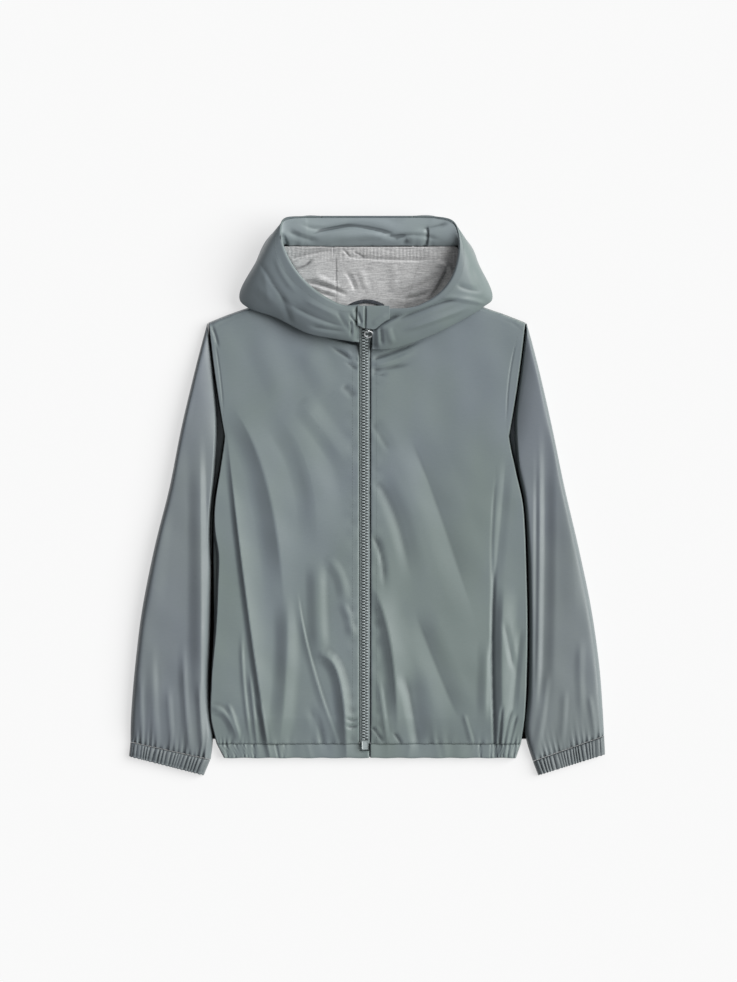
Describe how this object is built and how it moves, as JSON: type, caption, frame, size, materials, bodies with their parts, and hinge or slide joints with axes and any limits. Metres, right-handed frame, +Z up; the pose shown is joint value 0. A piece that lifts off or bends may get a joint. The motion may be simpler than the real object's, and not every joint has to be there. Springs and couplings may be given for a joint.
{
  "type": "hooded windbreaker laid flat",
  "caption": "Child's hooded windbreaker with a full zip, lying front up on a flat surface with its lined hood open.",
  "frame": {"origin": "on the surface it lies on, below the middle of its box", "axes": "+X to the wearer's left, +Y from the hem to the hood, +Z up from the surface"},
  "size_m": [0.477, 0.5595, 0.0441],
  "materials": {
    "shell": "satin two-tone taffeta, greenish grey",
    "sleeve": "satin two-tone taffeta, bluish grey",
    "jersey": "light grey marl jersey",
    "loop": "dark woven cord",
    "tape": "fine woven zip tape",
    "teeth": "moulded teeth with a soft gloss",
    "metal": "grey lacquered metal"
  },
  "bodies": {
    "garment": {"back_panel": "shell", "front_right": "shell", "front_left": "shell", "hem_back": "shell", "hem_right": "shell", "hem_left": "shell", "sleeve_right": "sleeve", "sleeve_left": "sleeve", "cuff_right": "sleeve", "cuff_left": "sleeve", "hood_side_right": "shell", "hood_side_left": "shell", "hood_centre": "shell", "hood_facing": "shell", "chin_guard": "shell", "lining_right": "jersey", "lining_centre": "jersey", "lining_left": "jersey", "hanger_loop": "loop", "zip_tape_right": "tape", "zip_tape_left": "tape", "zip_chain": "teeth", "zip_box": "teeth", "zip_slider": "metal"},
    "pull": {"zip_pull": "metal"}
  },
  "joints": [
    {"name": "pull_lift", "type": "hinge", "parent": "garment", "child": "pull", "pos_m": [0.0016, 0.1644, 0.0306], "axis": [-1, 0, 0], "range_deg": [0, 110]}
  ]
}
